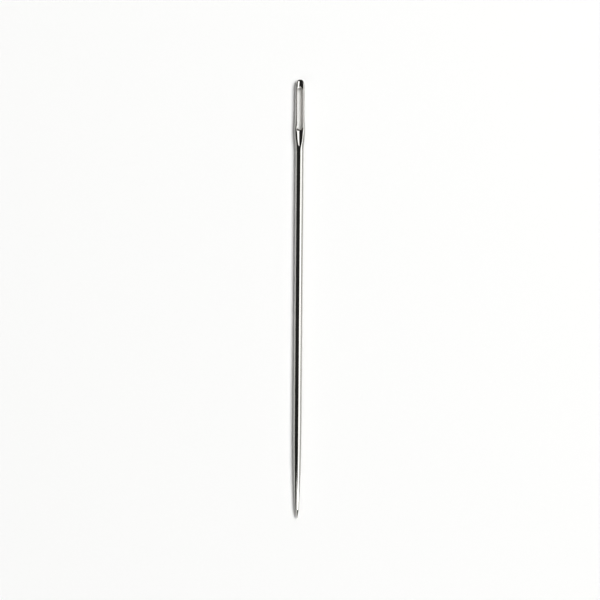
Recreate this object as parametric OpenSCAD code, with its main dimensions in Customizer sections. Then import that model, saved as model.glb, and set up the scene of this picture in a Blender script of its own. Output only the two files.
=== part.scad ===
// Yarn needle of polished, nickel-plated steel wire, lying on its side.
// Y runs along the needle: the crown of the head is at +Y and the point at -Y.
// Z runs through the eye. The origin is below the middle of the needle, on the surface it lies on.
// Distances along the needle are measured from the top of the crown towards the point.

/* [Wire] */
// Overall length, from the crown to the tip
needle_l = 70; // [60:0.5:85]
// Diameter of the wire, which is the diameter of the shaft
wire_d = 1.3; // [1.2:0.02:1.6]

/* [Eye] */
// Width of the eye
eye_w = 0.88; // [0.7:0.02:1]
// Length of the eye, from end to end
eye_l = 6.6; // [4:0.1:9]
// Metal above the eye, measured along the needle
bridge_l = 1.39; // [1.1:0.01:2]
// Width of the softened edge round each mouth of the eye
mouth_c = 0.08; // [0.04:0.01:0.1]

/* [Head] */
// Metal on each side of the eye, just under the crown
rail_top = 0.28; // [0.25:0.01:0.35]
// Metal on each side of the eye, where the head begins to swell
rail_mid = 0.33; // [0.3:0.01:0.38]
// Metal on each side of the eye's line, where the head is widest
rail_low = 0.42; // [0.39:0.01:0.5]
// Length of the rounded crown
crown_l = 0.8; // [0.6:0.05:1]
// Length over which the rails swell to the widest place
swell_l = 2.5; // [1.5:0.1:3]
// Distance from the eye's lower end to the widest place
swell_drop = 0.4; // [0:0.1:1]
// Length of the shoulder, from the widest place down to the round shaft
shoulder_l = 2.9; // [2.8:0.1:4]
// Depth that the stamp takes off each face of the head
stamp_d = 0.07; // [0.04:0.01:0.1]
// Width of each stamped face, between the rounded corners of the head
stamp_w = 1.2; // [1.1:0.02:1.24]
// Distance that the stamped faces run on past the shoulder before they end
fade_l = 1.2; // [1.1:0.1:2.5]

/* [Gutters] */
// Length of the gutter below the eye, on each face
gutter_l = 3; // [1.5:0.1:3.2]
// Depth of that gutter where it meets the eye
gutter_d = 0.22; // [0.15:0.01:0.3]
// Radius of the dished groove over the crown
dish_r = 0.7; // [0.5:0.02:0.8]
// Depth of the dished groove over the crown
dish_d = 0.13; // [0.08:0.01:0.2]

/* [Point] */
// Length of the long taper, with the ground point
taper_l = 14.6; // [10:0.1:20]
// Length of the ground point alone
point_l = 1.45; // [1:0.05:2.5]
// Diameter where the ground point begins
point_d = 0.66; // [0.5:0.02:0.8]
// Radius of the rounded tip
tip_r = 0.05; // [0.02:0.01:0.1]

/* [Hidden] */
$fn = 96;

wire_r = wire_d / 2;
top_y = needle_l / 2;
tip_y = -needle_l / 2;
eye_r = eye_w / 2;
eye_end = bridge_l + eye_l;
// Centres of the round ends of the eye
eye_high = top_y - bridge_l - eye_r;
eye_low = top_y - eye_end + eye_r;
widest_r = eye_r + rail_low;
widest_s = eye_end + swell_drop;
swell_s = widest_s - swell_l;
faces_l = shoulder_l + fade_l;
head_l = widest_s + faces_l;
taper_y = tip_y + taper_l;
point_y = tip_y + point_l;
face_z = wire_r - stamp_d;
// Radius of the rounded corners of the head, about the needle's axis
corner_r = sqrt(pow(stamp_w / 2, 2) + pow(face_z, 2));
// Height over the round wire at which the stamped faces leave it
run_out = 0.01;
// Distance by which the sides stay clear of the round shoulder
clear = 0.05;
over = 0.5;

steel = [0.80, 0.80, 0.79];

// Goes smoothly from 0 to 1
function ease(t) = (1 - cos(180 * t)) / 2;

// Goes from a to b as t goes from 0 to 1
function mix(a, b, t) = a + (b - a) * t;

// A quarter of an ellipse that rises from 0 to 1
function dome(t) = sqrt(1 - pow(1 - t, 2));

// Steps from 0 to 1, each end included
function steps(n) = [for (i = [0:n]) i / n];

// An arc that leaves the first radius along the needle and reaches the second at t = 1
function ogive(r_a, r_b, t) = mix(r_a, r_b, t * t);

// One side of the head from the crown to its widest place, as [distance from the axis, place along Y]
function head_side(crown_r, swell_r, low_r) = [
    for (a = steps(8)) let (t = 1 - cos(90 * a))
        [dome(t) * crown_r, top_y - t * crown_l],
    for (t = steps(8)) [mix(swell_r, low_r, ease(t)), top_y - swell_s - t * swell_l]
];

// Half the width of the head between its sides. Past the widest place it stays clear of the round sides
head_widths = concat(
    head_side(eye_r + rail_top, eye_r + rail_mid, widest_r + clear),
    [[widest_r + clear, top_y - head_l]]
);

// Radius of the rounded sides and corners of the head, down to the round shaft
head_rounds = concat(
    head_side(corner_r, corner_r, widest_r),
    [for (t = steps(10)) if (t > 0) [mix(widest_r, wire_r, ease(t)), top_y - widest_s - t * shoulder_l]],
    [[wire_r, top_y - head_l]]
);

// Half the thickness of the head between its stamped faces, a distance s below the crown
function face_at(s) = mix(face_z, wire_r + run_out, ease(max((s - widest_s) / faces_l, 0)));

// The same as a list, as [half thickness, place along Y], from the crown down
head_faces = concat(
    [for (a = steps(8)) let (t = 1 - cos(90 * a)) [dome(t) * face_z, top_y - t * crown_l]],
    [for (t = steps(8)) let (s = widest_s + t * faces_l) [face_at(s), top_y - s]]
);

// The taper and the ground point, as [radius, place along Y], from the shaft down
taper_sides = [
    for (t = steps(10)) [ogive(wire_r, point_d / 2, t), mix(taper_y, point_y, t)],
    for (t = steps(6)) if (t > 0)
        [mix(point_d / 2, tip_r, t), mix(point_y, tip_y + tip_r, t)],
    for (t = steps(3)) if (t > 0)
        [tip_r * cos(90 * t), tip_y + tip_r * (1 - sin(90 * t))]
];

// Places a shape drawn along Z on the needle's axis, with its own Z along the needle's Y
module on_axis() {
    translate([0, 0, wire_r]) rotate([-90, 0, 0]) children();
}

// A round body turned from a list of [radius, place along Y]
module turned(sides) {
    first = sides[0][1];
    last = sides[len(sides) - 1][1];
    on_axis() rotate_extrude() polygon(concat([[0, first]], sides, [[0, last]]));
}

// A slab that is symmetrical about the needle's axis, from a list of [half size, place along Y]
module slab(sides) {
    left = [for (i = [len(sides) - 1:-1:1]) [-sides[i][0], sides[i][1]]];
    linear_extrude(height = 4 * wire_d, center = true) polygon(concat(sides, left));
}

// What the dies leave between them: two flat sides and two flat faces, still with square corners
module stamped_bar() {
    translate([0, 0, wire_r]) intersection() {
        slab(head_widths);
        rotate([0, 90, 0]) slab(head_faces);
    }
}

// The eye's outline in plan: a slot with round ends
module eye_outline() {
    translate([0, eye_low]) circle(r = eye_r);
    translate([0, eye_high]) circle(r = eye_r);
    translate([-eye_r, eye_low]) square([eye_w, eye_high - eye_low]);
}

// The flare that softens one mouth of the eye, for the face above the axis
module eye_mouth() {
    // carried on past the face at the same slope
    rise = 2 * mouth_c;
    base = face_z - mouth_c;
    for (y = [eye_low, eye_high]) translate([0, y, base]) cylinder(r1 = eye_r, r2 = eye_r + rise, h = rise);
    translate([0, eye_high, base]) rotate([90, 0, 0]) linear_extrude(height = eye_high - eye_low)
        polygon([[-eye_r, 0], [eye_r, 0], [eye_r + rise, rise], [-eye_r - rise, rise]]);
}

// The gutter below the eye, on the face above the axis: a cone that narrows to nothing on that face
module gutter() {
    run = gutter_l + eye_r;
    end_z = face_at(eye_end + gutter_l);
    // the cone's axis and radius where it is as wide as the eye
    wide_z = face_z + (eye_r * eye_r - gutter_d * gutter_d) / (2 * gutter_d);
    wide_r = wide_z - face_z + gutter_d;
    rise = wide_z - end_z;
    translate([0, eye_low - run, end_z]) rotate([-90 + atan(rise / run), 0, 0])
        cylinder(r1 = 0, r2 = wide_r, h = sqrt(run * run + rise * rise));
}

// The groove over the crown, on the face above the axis
module crown_dish() {
    translate([0, eye_high, face_z - dish_d + dish_r]) rotate([-90, 0, 0])
        cylinder(r = dish_r, h = bridge_l + eye_r + over);
}

// What the stamp cuts into both faces
module both_faces() {
    translate([0, 0, wire_r]) {
        children();
        mirror([0, 0, 1]) children();
    }
}

module head() {
    color(steel) difference() {
        intersection() {
            stamped_bar();
            turned(head_rounds);
        }
        translate([0, 0, -over]) linear_extrude(height = wire_d + 2 * over) eye_outline();
        both_faces() {
            eye_mouth();
            gutter();
            crown_dish();
        }
    }
}

module shaft() {
    color(steel) on_axis() translate([0, 0, taper_y])
        cylinder(d = wire_d, h = top_y - head_l - taper_y);
}

module point() {
    color(steel) turned(taper_sides);
}

head();
shaft();
point();
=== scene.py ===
# %% [markdown]
# # A yarn needle of nickel-plated steel
# This lesson models one long hand needle and lights it on white paper. The real thing is a single length
# of wire. Its point is ground, its head is stamped and its eye is punched. Then it is hardened, polished
# and plated with nickel, so nothing on it is glued, screwed or pinned. The construction model holds it in
# three zones, head, shaft and point, and says where each one lies. It is loaded first, and everything
# after it is worked out from its boxes.

# %% Load the construction model
import math

import bmesh
import bpy
from mathutils import Matrix, Vector


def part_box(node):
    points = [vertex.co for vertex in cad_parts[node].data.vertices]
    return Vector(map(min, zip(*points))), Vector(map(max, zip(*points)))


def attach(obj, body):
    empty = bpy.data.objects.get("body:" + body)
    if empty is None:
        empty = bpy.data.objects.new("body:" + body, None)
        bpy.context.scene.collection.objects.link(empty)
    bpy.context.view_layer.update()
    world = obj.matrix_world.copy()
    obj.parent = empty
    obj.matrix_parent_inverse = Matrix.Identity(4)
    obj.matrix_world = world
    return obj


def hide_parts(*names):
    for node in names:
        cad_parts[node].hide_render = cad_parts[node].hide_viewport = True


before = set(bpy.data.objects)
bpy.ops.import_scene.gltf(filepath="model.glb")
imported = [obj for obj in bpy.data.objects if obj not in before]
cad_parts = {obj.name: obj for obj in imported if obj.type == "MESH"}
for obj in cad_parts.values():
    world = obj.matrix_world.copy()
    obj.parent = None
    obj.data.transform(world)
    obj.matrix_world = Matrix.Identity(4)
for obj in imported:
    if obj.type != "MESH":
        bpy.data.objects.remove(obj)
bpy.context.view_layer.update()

MM = 0.001
head_low, head_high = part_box("head")
shaft_low, shaft_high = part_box("shaft")
point_low, point_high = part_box("point")

# %% [markdown]
# ## The sizes
# The needle lies along Y, with the crown of its head at +Y and its point at -Y, and Z runs through the
# eye. The overall sizes come from the loaded model. The rest are real sizes in millimetres, turned to
# metres. Distances in the head are measured from the crown, and distances in the point from the tip. The
# eye, the sides of the head and the point come first. The grooves get their sizes where they are made.

# %% Name the sizes
CROWN_Y = head_high[1]
TIP_Y = point_low[1]
SHAFT_R = (shaft_high[0] - shaft_low[0]) / 2
AXIS_Z = SHAFT_R
HEAD_L = CROWN_Y - head_low[1]
TAPER_L = point_high[1] - TIP_Y

EYE_HALF = 0.44 * MM
EYE_START = 1.39 * MM
EYE_END = EYE_START + 6.6 * MM

CROWN_L = 0.8 * MM
CROWN_HALF = 0.72 * MM
SWELL_START = 5.89 * MM
SWELL_HALF = 0.77 * MM
WIDEST = 8.39 * MM
WIDEST_HALF = 0.86 * MM
SHOULDER_L = 2.9 * MM
STAMP_D = 0.07 * MM

POINT_L = 1.45 * MM
POINT_R = 0.33 * MM
TIP_R = 0.05 * MM
print("shaft diameter in mm:", round(2 * SHAFT_R / MM, 3), "and length of the head:", round(HEAD_L / MM, 2))

# %% [markdown]
# ## A cage that a subdivision surface rounds off
# The needle could be cut from a turned bar with booleans, but their edges break up the reflections, and
# on polished metal every break shows. So it is modelled as a coarse cage with 16 sides, and a Subdivision
# Surface modifier turns the cage into one smooth skin. Such a skin runs a little inside its cage. For a
# regular ring the amount is known exactly, so each ring is drawn larger by that amount and the finished
# wire has its true diameter.

# %% Work out how much larger the cage is drawn
SIDES = 16
LINE_ANGLE = 2 * math.pi / SIDES
RING_GROWS = 3 / (2 + math.cos(LINE_ANGLE))
print("each ring of the cage is drawn", round(RING_GROWS, 4), "times its true size")

# %% [markdown]
# ## The outline
# Three functions say how wide and how thick the needle is at any place along it. The sides of the head
# swell gently towards the lower end of the eye. The stamped faces run out below the shoulder. The taper
# is a flat arc that leaves the shaft without an edge, and the ground point is a cone with a round nose.

# %% Say how wide and how thick the needle is
def blend(a, b, t):
    """Goes from a to b as t goes from 0 to 1."""
    return a + (b - a) * t


def ease(t):
    """Goes smoothly from 0 to 1."""
    return (1 - math.cos(math.pi * min(max(t, 0), 1))) / 2


def head_half_width(s):
    """Half the width of the head at a distance s below the crown."""
    if s < CROWN_L:
        return CROWN_HALF * math.sqrt(1 - (1 - s / CROWN_L) ** 2)
    if s < SWELL_START:
        return blend(CROWN_HALF, SWELL_HALF, (s - CROWN_L) / (SWELL_START - CROWN_L))
    if s < WIDEST:
        return blend(SWELL_HALF, WIDEST_HALF, ease((s - SWELL_START) / (WIDEST - SWELL_START)))
    return blend(WIDEST_HALF, SHAFT_R, ease((s - WIDEST) / SHOULDER_L))


def head_half_thickness(s):
    """Half the distance between the stamped faces at a distance s below the crown."""
    face = SHAFT_R - STAMP_D
    if s < CROWN_L:
        return face * math.sqrt(1 - (1 - s / CROWN_L) ** 2)
    return blend(face, SHAFT_R, ease((s - WIDEST) / (HEAD_L - WIDEST)))


def point_radius(d):
    """The radius of the taper, the ground point and its round nose at a distance d from the tip."""
    if d > POINT_L:
        t = (TAPER_L - d) / (TAPER_L - POINT_L)
        return blend(SHAFT_R, POINT_R, max(t, 0) ** 2)
    return min(blend(TIP_R, POINT_R, d / POINT_L), math.sqrt(2 * TIP_R * d))


print("width in mm at the crown, where the head is widest, and where the point is ground:",
      [round(2 * half / MM, 2) for half in (head_half_width(CROWN_L), head_half_width(WIDEST), POINT_R)])

# %% [markdown]
# ## Working by selection
# In edit mode each operator acts on what is selected. Three small helpers do the selecting: one opens an
# object for editing, one chooses vertices or faces by their place, and one says when two places count as
# the same.

# %% Helpers for edit mode
SAME = 0.01 * MM


def open_for_edit(obj):
    """Makes obj the only selected object and goes into edit mode."""
    bpy.ops.object.select_all(action="DESELECT")
    obj.select_set(True)
    bpy.context.view_layer.objects.active = obj
    bpy.ops.object.mode_set(mode="EDIT")


def choose(obj, kind, test):
    """Selects the vertices or faces whose middle passes the test, and counts them."""
    bpy.ops.mesh.select_mode(type=kind)
    bpy.ops.mesh.select_all(action="DESELECT")
    mesh = bmesh.from_edit_mesh(obj.data)
    count = 0
    for item in mesh.verts if kind == "VERT" else mesh.faces:
        corners = [item.co] if kind == "VERT" else [v.co for v in item.verts]
        middle = sum(corners[1:], corners[0].copy()) / len(corners)
        if test(middle):
            item.select_set(True)
            count += 1
    bmesh.update_edit_mesh(obj.data)
    return count


def near(a, b):
    """True where two places are the same."""
    return abs(a - b) < SAME


print("places count as the same within", round(SAME / MM, 3), "mm")

# %% [markdown]
# ## The wire
# A cylinder with 16 sides is the cut length of wire. It is laid along Y, at the height where it rests on
# the paper, and its place is applied at once, so that the mesh itself holds the place and the object
# stays at the origin. It ends a little above the taper. The first ring of the taper is then as wide as
# the wire, and two equal rings in a row hold the skin straight up to the place where the taper begins.

# %% Add the cut wire
HOLD_L = 0.6 * MM
wire_low = TIP_Y + TAPER_L + HOLD_L
wire_high = CROWN_Y - HEAD_L
bpy.ops.object.select_all(action="DESELECT")
bpy.ops.mesh.primitive_cylinder_add(
    vertices=SIDES, radius=SHAFT_R * RING_GROWS, depth=wire_high - wire_low,
    location=(0, (wire_low + wire_high) / 2, AXIS_Z), rotation=(math.pi / 2, 0, 0))
needle = bpy.context.object
needle.name = "needle_steel"
bpy.ops.object.transform_apply(location=True, rotation=True, scale=True)
print("cut wire, length in mm:", round((wire_high - wire_low) / MM, 2))

# %% [markdown]
# ## Where the rings stand
# The head and the point are drawn out of the wire ring by ring, so the places of the rings are chosen
# first. They stand close together where the shape turns quickly, at the crown, along the gutter and at
# the tip. Each end of the eye has a ring where its arc begins and another where the arc is at 45 degrees.
# The skin runs inside the cage there too, so the cage's corner and the middle of its arc stand at two
# shares of the eye's half width, which are chosen so that the skin's own arc comes out as a half circle.
# Two rings close together keep an edge where the stone ground the point.

# %% Choose the rings
ARC_CORNER = 0.784 * EYE_HALF
ARC_MIDDLE = 1.108 * EYE_HALF
EYE_STEPS = 5
GUTTER_L = 3.0 * MM
GROUND_EDGE = 0.05 * MM
SHOULDER_RING = 11.8 * MM

low_arc, high_arc = EYE_END - EYE_HALF, EYE_START + EYE_HALF
low_corner, high_corner = low_arc + ARC_CORNER, high_arc - ARC_CORNER
gutter_rings = [EYE_END + part * GUTTER_L for part in (1, 0.88, 0.66, 0.36, 0.1)]
eye_rings = [blend(low_arc, high_arc, step / EYE_STEPS) for step in range(EYE_STEPS + 1)]
crown_rings = [1.12 * MM, CROWN_L, 0.4 * MM, 0.14 * MM, 0.02 * MM]
head_rings = [SHOULDER_RING, *gutter_rings, low_corner, *eye_rings, high_corner, *crown_rings]
taper_rings = [TAPER_L, 12.4 * MM, 9.8 * MM, 7.2 * MM, 4.8 * MM, 2.8 * MM]
ground_rings = [POINT_L + GROUND_EDGE, POINT_L - GROUND_EDGE, 0.95 * MM, 0.5 * MM]
nose_rings = [0.2 * MM, 0.06 * MM, 0.01 * MM]
point_rings = [*taper_rings, *ground_rings, *nose_rings]
print("rings in the head:", len(head_rings), "and in the point:", len(point_rings))

# %% [markdown]
# ## Drawing out the head and the point
# The end face of the wire is extruded to each ring's place and scaled to its radius there, just as a
# smith draws out hot metal. The same few lines make the head at one end and the point at the other.

# %% Extrude both ends
def draw_out(start_y, stations):
    """Extrudes the end face at start_y through each (place, radius) in turn, as the wire is drawn out."""
    choose(needle, "FACE", lambda m: near(m.y, start_y))
    y, radius = start_y, SHAFT_R
    for next_y, next_radius in stations:
        bpy.ops.mesh.extrude_region_move(TRANSFORM_OT_translate={"value": (0, next_y - y, 0)})
        factor = next_radius / radius
        bpy.ops.transform.resize(value=(factor, 1, factor), center_override=(0, next_y, AXIS_Z))
        y, radius = next_y, next_radius


open_for_edit(needle)
draw_out(wire_high, [(CROWN_Y - s, head_half_width(s)) for s in head_rings])
draw_out(wire_low, [(TIP_Y + d, point_radius(d)) for d in point_rings])
print("vertices in the drawn-out wire:", len(bmesh.from_edit_mesh(needle.data).verts))

# %% [markdown]
# ## The stamp
# A stamp squeezes the head between two dies. That leaves two flat faces with rounded corners between
# them. In the cage, 16 lines of vertices run along the needle. Five of them have a name, from the top to
# the side, and the others mirror them. TOP runs along the middle of the face and sinks wherever there is
# a groove. RIM becomes the long edge of the eye, CORNER the rounded corner of the face, FLANK and SIDE
# the side. In each ring of the head every line is scaled to its new place. Along the shoulder the places
# go back to those of the round wire, so that the faces run out without an edge.

# %% Stamp each ring of the head
TOP, RIM, CORNER, FLANK, SIDE = range(5)
FACE_HALF = 0.58 * MM
RIM_SHARE = 0.62
CORNER_SHARE, CORNER_HEIGHT = 0.87, 0.89
FLANK_SHARE, FLANK_HEIGHT = 0.97, 0.55
TINY = 0.001 * MM

places = {}
for s in head_rings:
    radius = head_half_width(s) * RING_GROWS
    for line in (TOP, RIM, CORNER, FLANK, SIDE):
        places[s, line] = radius * math.sin(line * LINE_ANGLE), radius * math.cos(line * LINE_ANGLE)


def place_line(s, line, x, z):
    """Scales one line's vertices in the ring at s to a new half width x and half height z."""
    ring_y = CROWN_Y - s
    old_x, old_z = places[s, line]
    choose(needle, "VERT", lambda v: (
        near(v.y, ring_y) and near(abs(v.x), old_x) and near(abs(v.z - AXIS_Z), old_z)))
    grow_x = x / old_x if old_x > TINY else 1
    grow_z = z / old_z if old_z > TINY else 1
    bpy.ops.transform.resize(value=(grow_x, 1, grow_z), center_override=(0, ring_y, AXIS_Z))
    places[s, line] = x, z


def stamped_places(s):
    """The half width and half height of each named line in a stamped ring, from TOP to SIDE."""
    width, face = head_half_width(s), head_half_thickness(s)
    return [
        (0, face),
        (min(EYE_HALF, RIM_SHARE * width), face),
        (min(FACE_HALF, CORNER_SHARE * width), CORNER_HEIGHT * face),
        (FLANK_SHARE * width, FLANK_HEIGHT * face),
        (width, 0)]


for s in head_rings:
    stamped = 1 - ease((s - WIDEST) / (HEAD_L - WIDEST))
    for line, (x, z) in enumerate(stamped_places(s)):
        round_x = head_half_width(s) * RING_GROWS * math.sin(line * LINE_ANGLE)
        round_z = SHAFT_R * RING_GROWS * math.cos(line * LINE_ANGLE)
        place_line(s, line, blend(round_x, x, stamped), blend(round_z, z, stamped))
print("half thickness of the stamped head in mm:", round(head_half_thickness(EYE_START) / MM, 2))

# %% [markdown]
# ## The gutter below the eye
# On both faces the stamp also presses a groove below the eye, so that the yarn beds in it and passes
# through the cloth without a bulge. The groove is as wide as the eye where it begins, and closes in a
# rounded end. TOP sinks to make its bottom, RIM is its edge, and CORNER follows RIM at a steady distance,
# which leaves a narrow strip beside the groove. On a polished needle that strip draws a thin dark line.
# Towards the end of the groove CORNER goes halfway back to its place on the plain face, because a sudden
# change of direction would put a kink in the band of light along the shoulder.

# %% Press the gutter
GUTTER_D = 0.24 * MM
GUTTER_END = 0.14 * MM
STRIP_W = 0.15 * MM
STRIP_HEIGHT = 0.87
for s in gutter_rings:
    left = math.sqrt(max(0, 1 - ((s - EYE_END) / GUTTER_L) ** 2))
    face = places[s, RIM][1]
    rim = max(left * EYE_HALF, GUTTER_END)
    follow = min(1, 0.5 + 2 * left)
    corner_x, corner_z = places[s, CORNER]
    strip_x, strip_z = rim + STRIP_W, STRIP_HEIGHT * face
    place_line(s, CORNER, blend(corner_x, strip_x, follow), blend(corner_z, strip_z, follow))
    place_line(s, RIM, rim, face)
    place_line(s, TOP, 0, face - left * GUTTER_D)
print("gutter in mm, length and depth:", round(GUTTER_L / MM, 2), round(GUTTER_D / MM, 2))

# %% [markdown]
# ## The groove over the crown and the ends of the eye
# A shallow dished groove runs from the eye over the crown. It narrows with the crown, so its sizes are
# scaled by how thick the crown still is at each ring. Then both ends of the eye are shaped: at the lower
# end the gutter rolls over into the eye in a deep, soft lip, and at the upper end the groove does the
# same with a shallow one. The yarn pulls over these two lips, so neither has an edge.

# %% Press the crown and the lips
DISH_HALF = 0.41 * MM
DISH_D = 0.17 * MM
DISH_CORNER = 0.61 * MM
DISH_CORNER_HEIGHT = 0.93
for s in crown_rings:
    thick = head_half_thickness(s) / (SHAFT_R - STAMP_D)
    face = places[s, RIM][1]
    place_line(s, CORNER, DISH_CORNER * thick, DISH_CORNER_HEIGHT * face)
    place_line(s, RIM, DISH_HALF * thick, face)
    place_line(s, TOP, 0, face - DISH_D * thick)

LIP_D = 0.5 * MM
LIP_CORNER = 0.85
LIP_SIDE = 0.6
for s, depth in ((low_corner, LIP_D), (high_corner, DISH_D)):
    corner_x, corner_z = places[s, CORNER]
    place_line(s, CORNER, blend(EYE_HALF, corner_x, LIP_CORNER), corner_z)
    place_line(s, RIM, ARC_CORNER, places[s, RIM][1] - LIP_SIDE * depth)
    place_line(s, TOP, 0, places[s, TOP][1] - depth)
print("depth in mm, groove over the crown and lip:", round(DISH_D / MM, 2), round(LIP_D / MM, 2))

# %% [markdown]
# ## Punching the eye
# The end of the eye is an arc, so the middle vertex of each end ring moves out along the needle to lie on
# it. Then the faces that cover the eye are deleted, above and below, and the two openings are bridged by
# the inner wall. A boolean could punch the same hole, but it would leave a ragged edge that no
# subdivision can round. The edges of both mouths are bevelled, because yarn frays on a sharp one and the
# maker rounds them.

# %% Delete the cover, bridge the wall and round the mouths
MOUTH_ROUND = 0.07 * MM
COVER_HALF = 0.6 * EYE_HALF
PAST_EYE = 0.1 * MM
eye_low, eye_high = CROWN_Y - low_corner, CROWN_Y - high_corner
for ring_y, way in ((eye_low, -1), (eye_high, 1)):
    choose(needle, "VERT", lambda v: near(v.y, ring_y) and near(v.x, 0))
    bpy.ops.transform.translate(value=(0, way * (ARC_MIDDLE - ARC_CORNER), 0))

covers = choose(needle, "FACE", lambda m: (
    abs(m.x) < COVER_HALF and eye_low - PAST_EYE < m.y < eye_high + PAST_EYE))
bpy.ops.mesh.delete(type="FACE")
bpy.ops.mesh.select_mode(type="EDGE")
bpy.ops.mesh.select_all(action="DESELECT")
bpy.ops.mesh.select_non_manifold()
bpy.ops.mesh.bridge_edge_loops(number_cuts=2)
bpy.ops.mesh.region_to_loop()
bpy.ops.mesh.bevel(offset=MOUTH_ROUND, segments=2, affect="EDGES")
print("faces deleted over the eye:", covers)

# %% [markdown]
# ## From cage to metal
# Now the Subdivision Surface modifier rounds the cage off. Each level splits every face in four, and
# three levels are enough for bands of light without corners. It is applied, so that the mesh itself is
# the finished surface. The cage is first cleaned: doubled vertices are merged and all faces turned
# outwards, or the skin would pinch. The finished needle rides on the one body of the model and stands for
# its three zones.

# %% Round the needle with a subdivision surface
LEVELS = 3
bpy.ops.mesh.select_all(action="SELECT")
bpy.ops.mesh.remove_doubles(threshold=TINY)
bpy.ops.mesh.normals_make_consistent(inside=False)
bpy.ops.object.mode_set(mode="OBJECT")
print("vertices in the cage:", len(needle.data.vertices))
smooth = needle.modifiers.new("skin", "SUBSURF")
smooth.levels = LEVELS
smooth.render_levels = LEVELS
bpy.ops.object.modifier_apply(modifier=smooth.name)
bpy.ops.object.shade_smooth()
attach(needle, "root")
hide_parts("head", "shaft", "point")
print("faces in the needle:", len(needle.data.polygons))

# %% [markdown]
# ## Helpers for materials
# Colours are written as sRGB hex values, as a paint chart gives them, and turned to the linear values
# that Blender mixes light in. One function adds a node with its settings and its links.

# %% Helpers for colours and nodes
def linear(hex_colour):
    """Turns an sRGB hex colour into linear red, green, blue and alpha."""
    parts = [int(hex_colour[i:i + 2], 16) / 255 for i in (1, 3, 5)]
    return (*[c / 12.92 if c <= 0.04045 else ((c + 0.055) / 1.055) ** 2.4 for c in parts], 1)


def add_node(tree, kind, inputs, **settings):
    """Adds a node, sets its properties, and sets or links its inputs."""
    node = tree.nodes.new(kind)
    for name, value in settings.items():
        setattr(node, name, value)
    for socket, value in inputs.items():
        if isinstance(value, bpy.types.NodeSocket):
            tree.links.new(value, node.inputs[socket])
        else:
            node.inputs[socket].default_value = value
    return node


def between(tree, value, low, high, to_low, to_high):
    """Maps a value that runs from low to high onto to_low to to_high, and holds it beyond both ends."""
    return add_node(tree, "ShaderNodeMapRange", {
        "Value": value, "From Min": low, "From Max": high,
        "To Min": to_low, "To Max": to_high}).outputs["Result"]


def new_material(name):
    """Makes an empty node material."""
    material = bpy.data.materials.new(name)
    material.use_nodes = True
    material.node_tree.nodes.clear()
    return material


print("the sRGB grey #808080 in linear light:", round(linear("#808080")[0], 3))

# %% [markdown]
# ## The wall of the eye
# Polishing hardly reaches the wall that the punch left, so it stays matt and frosted, and scatters light
# more than it mirrors. That is why the eye looks light inside, on a needle that is nearly black. For its
# own finish the material has to know where the wall is. Seen from above, the wall is all that lies within
# half the eye's width of the slot's middle line, so a mask is worked out from that distance.

# %% Find the wall of the eye
BLEND_OVER = 0.05 * MM


def eye_wall_mask(tree, place):
    """Is 1 on the wall of the eye and 0 elsewhere, from the distance to the middle line of the eye."""
    axes = add_node(tree, "ShaderNodeSeparateXYZ", {"Vector": place})
    nearest = add_node(tree, "ShaderNodeClamp", {
        "Value": axes.outputs["Y"], "Min": CROWN_Y - low_arc, "Max": CROWN_Y - high_arc})
    along = add_node(tree, "ShaderNodeMath", {
        0: axes.outputs["Y"], 1: nearest.outputs["Result"]}, operation="SUBTRACT")
    offset = add_node(tree, "ShaderNodeCombineXYZ", {"X": axes.outputs["X"], "Y": along.outputs["Value"]})
    distance = add_node(tree, "ShaderNodeVectorMath", {0: offset.outputs["Vector"]}, operation="LENGTH")
    return between(tree, distance.outputs["Value"], EYE_HALF + BLEND_OVER, EYE_HALF, 0, 1)


print("length in mm of the middle line that the wall goes round:", round((low_arc - high_arc) / MM, 2))

# %% [markdown]
# ## Bright nickel-plated steel
# The needle is hardened carbon steel, polished lengthwise in a bundle with fine abrasive, and nickel
# plated. Nickel gives a fairly dark, slightly warm mirror, so nearly all that shows on it is the room. A
# perfect mirror looks drawn by a computer, though. Three more things give the real one away: polishing
# leaves fine streaks along the needle, the plating is a little cloudy over a few millimetres, and the
# ground point keeps the rings of the grinding stone. The real streaks are about 0.02 mm apart. They are
# drawn 0.12 mm apart, because finer ones can't show.

# %% Make the steel
STREAK_APART, STREAK_L = 0.12 * MM, 9 * MM
CLOUD_SIZE = 6 * MM
RING_APART = 0.08 * MM
MARK_DEPTH, MARK_STRENGTH = 0.002 * MM, 0.4
POLISHED = 0.05, 0.09
CLOUDED = 0, 0.02
GROUND = 0.03, 0.07
FROSTED = 0.38, 0.5
FROSTED_METAL = 0.3
# At scale 1 the bands of a wave texture are this far apart
WAVE_UNIT = math.pi / 10


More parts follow.
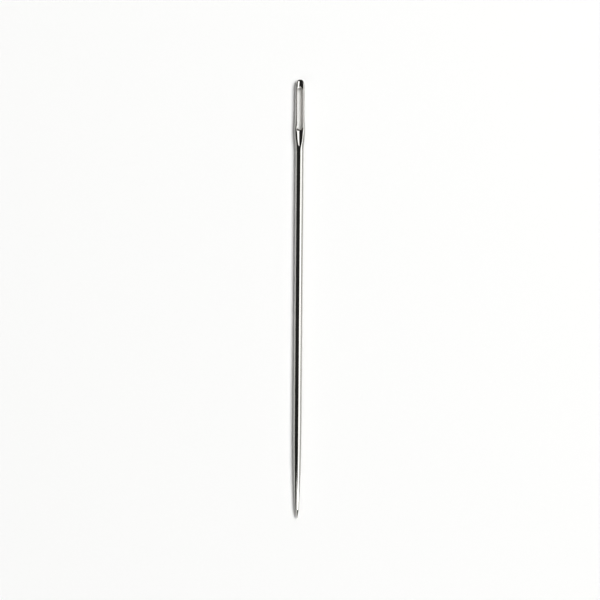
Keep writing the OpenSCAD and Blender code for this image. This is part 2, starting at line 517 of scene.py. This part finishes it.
def nickel_plated_steel():
    """Bright nickel plate over polished steel: streaks, clouds, a ground point and a frosted eye wall."""
    material = new_material("bright_nickel_plated_steel")
    tree = material.node_tree
    place = add_node(tree, "ShaderNodeTexCoord", {}).outputs["Object"]
    along = add_node(tree, "ShaderNodeSeparateXYZ", {"Vector": place}).outputs["Y"]
    wall = eye_wall_mask(tree, place)
    ground = between(tree, along, TIP_Y + POINT_L, TIP_Y + POINT_L - BLEND_OVER, 0, 1)

    stretch = add_node(tree, "ShaderNodeMapping", {
        "Vector": place, "Scale": (1 / STREAK_APART, 1 / STREAK_L, 1 / STREAK_APART)})
    streaks = add_node(tree, "ShaderNodeTexNoise", {
        "Vector": stretch.outputs["Vector"], "Scale": 1.0, "Detail": 3.0}).outputs["Fac"]
    clouds = add_node(tree, "ShaderNodeTexNoise", {
        "Vector": place, "Scale": 1 / CLOUD_SIZE, "Detail": 2.0}).outputs["Fac"]
    rings = add_node(tree, "ShaderNodeTexWave", {
        "Vector": place, "Scale": WAVE_UNIT / RING_APART, "Distortion": 1.5, "Detail": 2.0},
        bands_direction="Y").outputs["Fac"]

    plate = add_node(tree, "ShaderNodeMix", {
        "Factor": clouds, "A": linear("#B2B1AE"), "B": linear("#BCBAB6")}, data_type="RGBA")
    colour = add_node(tree, "ShaderNodeMix", {
        "Factor": wall, "A": plate.outputs["Result"], "B": linear("#D6D3CD")}, data_type="RGBA")

    polished = add_node(tree, "ShaderNodeMath", {
        0: between(tree, streaks, 0.3, 0.7, *POLISHED),
        1: between(tree, clouds, 0.35, 0.65, *CLOUDED)}, operation="ADD")
    ground_finish = add_node(tree, "ShaderNodeMix", {
        "Factor": ground, "A": polished.outputs["Value"], "B": between(tree, rings, 0, 1, *GROUND)})
    finish = add_node(tree, "ShaderNodeMix", {
        "Factor": wall, "A": ground_finish.outputs["Result"],
        "B": between(tree, streaks, 0.3, 0.7, *FROSTED)})

    metal = between(tree, wall, 0, 1, 1, FROSTED_METAL)
    marks = add_node(tree, "ShaderNodeMix", {"Factor": ground, "A": streaks, "B": rings})
    bump = add_node(tree, "ShaderNodeBump", {
        "Height": marks.outputs["Result"], "Strength": MARK_STRENGTH, "Distance": MARK_DEPTH})
    shader = add_node(tree, "ShaderNodeBsdfPrincipled", {
        "Base Color": colour.outputs["Result"], "Metallic": metal, "Roughness": finish.outputs["Result"],
        "Normal": bump.outputs["Normal"]})
    add_node(tree, "ShaderNodeOutputMaterial", {"Surface": shader.outputs["BSDF"]})
    print("nodes in", material.name, len(tree.nodes))
    return material


needle.data.materials.clear()
needle.data.materials.append(nickel_plated_steel())

# %% [markdown]
# ## The paper
# The needle lies on a wide sheet of white photographic paper, matt and nearly free of colour. It isn't
# part of the needle. It is far wider than the picture, because the sides of
# the needle mirror the paper far out, and without it they would turn black.

# %% Lay the paper
PAPER_W = 4
FIBRE_SIZE = 0.4 * MM
FIBRE_DEPTH = 0.01 * MM


def white_paper():
    """Matt white paper with faint fibres."""
    material = new_material("white_photographic_paper")
    tree = material.node_tree
    place = add_node(tree, "ShaderNodeTexCoord", {}).outputs["Object"]
    fibres = add_node(tree, "ShaderNodeTexNoise", {
        "Vector": place, "Scale": 1 / FIBRE_SIZE, "Detail": 3.0}).outputs["Fac"]
    colour = add_node(tree, "ShaderNodeMix", {
        "Factor": fibres, "A": linear("#F7F7F6"), "B": linear("#F9F9F8")}, data_type="RGBA")
    bump = add_node(tree, "ShaderNodeBump", {"Height": fibres, "Strength": 0.1, "Distance": FIBRE_DEPTH})
    shader = add_node(tree, "ShaderNodeBsdfPrincipled", {
        "Base Color": colour.outputs["Result"], "Roughness": 0.9, "Specular IOR Level": 0.2,
        "Normal": bump.outputs["Normal"]})
    add_node(tree, "ShaderNodeOutputMaterial", {"Surface": shader.outputs["BSDF"]})
    return material


bpy.ops.object.select_all(action="DESELECT")
bpy.ops.mesh.primitive_plane_add(size=PAPER_W, location=(0, 0, 0))
paper = bpy.context.object
paper.name = "paper_floor"
paper.data.materials.append(white_paper())
print("paper, width in metres:", paper.dimensions.x)

# %% [markdown]
# ## A lamp placed by angles
# A polished round wire mirrors a thin slice of the room, straight across the needle. What stands in that
# slice draws its bands of dark and light, so it matters at which angle a lamp stands, and how many
# degrees it spans. How far away it is hardly matters. So one function places a lamp by angles as seen
# from the needle, and works out its size and power from its distance. In a perfect mirror a lamp with a
# radiance of 1 looks just white.

# %% Helper for lamps
LAMP_AWAY = 2.0


def softbox(name, side, along, size, radiance, distance=LAMP_AWAY):
    """Adds an area lamp that faces the needle. Its place is two angles in degrees: side is its height over
    the paper, seen along the needle, and along is how far it is turned towards the head.
    Its size is two more, as seen from the needle: across the needle and along it."""
    a, b = math.radians(side), math.radians(along)
    away = Vector((math.cos(a) * math.cos(b), math.sin(b), math.sin(a) * math.cos(b)))
    side_way = Vector((-math.sin(a), 0, math.cos(a)))
    turn = Matrix((side_way.cross(away), side_way, away)).transposed().to_4x4()
    across, length = [2 * distance * math.tan(math.radians(angle / 2)) for angle in size]
    lamp = bpy.data.lights.new(name, "AREA")
    lamp.shape = "RECTANGLE"
    lamp.size, lamp.size_y = length, across
    lamp.energy = radiance * math.pi * across * length
    obj = bpy.data.objects.new(name, lamp)
    bpy.context.scene.collection.objects.link(obj)
    obj.matrix_world = Matrix.Translation(away * distance) @ turn
    print(name, "in metres, across and along:", round(across, 2), round(length, 2))
    return obj


print("lamps stand this far from the needle, in metres:", LAMP_AWAY)

# %% [markdown]
# ## Light on the paper
# The key stands at the upper right and gives the soft shadow on the left. It spans 26 degrees across the
# needle, and that span is what sets how soft the shadow's edge is. Two wide, dim fills stand beyond the
# ends of the needle and lighten the shadow. In the metal the key would make the white band too wide, and
# the fill over the head would draw bright spots on the crown and on the lip of the eye, so these two are
# hidden from its reflections. The fill beyond the point isn't hidden: hardly anything but the ground point
# leans far enough to mirror it, and there it draws the light streak beside the dark side of the cone.

# %% Place the lamps that light the paper
key = softbox("key", side=64, along=10, size=(26, 32), radiance=12.3)
fill_head = softbox("fill_head", side=90, along=60, size=(40, 26), radiance=1.3)
softbox("fill_point", side=122, along=-36, size=(54, 24), radiance=1.4)
for lamp in (key, fill_head):
    lamp.visible_glossy = False

# %% [markdown]
# ## Cards that only the metal sees
# A photographer holds white cards beside a shiny object to draw its highlights. Here three lamps do that.
# They are hidden from matt surfaces, so they add next to nothing to the light on the paper. card_high
# draws the left part of the white band on the wire, and card_low the right part. card_high reaches out
# farther past the head, because the lip of the eye and the top of the crown lean that way and mirror it
# there. card_taper stands towards the point, where the end of the taper mirrors it and the white band
# grows wider. It stands a little nearer than the others, so that no two of them lie in one surface. The
# room on the left and overhead is left dark, and that draws the black band beside the white one.

# %% Place the cards
card_high = softbox("card_high", side=53, along=12, size=(26, 64), radiance=2.5)
card_low = softbox("card_low", side=28, along=0, size=(24, 40), radiance=2.3)
card_taper = softbox("card_taper", side=66, along=-17, size=(68, 10), radiance=3.2, distance=1.9)
for lamp in (card_high, card_low, card_taper):
    lamp.visible_diffuse = False

# %% [markdown]
# ## The room
# The room around is nearly black, with a pale glow just over the horizon, as from far walls. The glow
# closes the paper's edge in low views, and hardly lights anything.

# %% Dim the room
HORIZON_TOP = 0.1


def dim_room():
    """A world that is pale just over the horizon and nearly black above."""
    world = bpy.data.worlds.new("dim_room")
    world.use_nodes = True
    tree = world.node_tree
    tree.nodes.clear()
    direction = add_node(tree, "ShaderNodeTexCoord", {}).outputs["Generated"]
    up = add_node(tree, "ShaderNodeSeparateXYZ", {"Vector": direction}).outputs["Z"]
    glow = between(tree, up, HORIZON_TOP / 2, HORIZON_TOP, 1, 0)
    colour = add_node(tree, "ShaderNodeMix", {
        "Factor": glow, "A": linear("#30302F"), "B": linear("#C4C4C2")}, data_type="RGBA")
    back = add_node(tree, "ShaderNodeBackground", {"Color": colour.outputs["Result"], "Strength": 1.0})
    add_node(tree, "ShaderNodeOutputWorld", {"Surface": back.outputs["Background"]})
    return world


bpy.context.scene.world = dim_room()
print("lamps and cards:", len(bpy.data.lights))

# %% [markdown]
# ## The camera
# The picture is taken from straight above with a long lens, so the needle stands upright in it and shows
# no foreshortening. The needle is 0.44 degrees out of the upright, with its head to the right, and the
# camera is turned by as much. Its height follows from the width that the picture shows.

# %% Place the camera
LENS = 100
SENSOR = 36
VIEW_W = 95.6 * MM
VIEW_X, VIEW_Y = 0.24 * MM, -0.175 * MM
VIEW_TURN = 0.44
camera_data = bpy.data.cameras.new("camera")
camera_data.lens = LENS
camera_data.sensor_width = SENSOR
camera_data.clip_start = 0.01
camera = bpy.data.objects.new("camera", camera_data)
bpy.context.scene.collection.objects.link(camera)
camera.location = (VIEW_X, VIEW_Y, AXIS_Z + VIEW_W * LENS / SENSOR)
camera.rotation_euler = (0, 0, math.radians(VIEW_TURN))
bpy.context.scene.camera = camera
bpy.context.scene.view_settings.view_transform = "Standard"
print("camera over the paper, in mm:", round(camera.location.z / MM, 1))
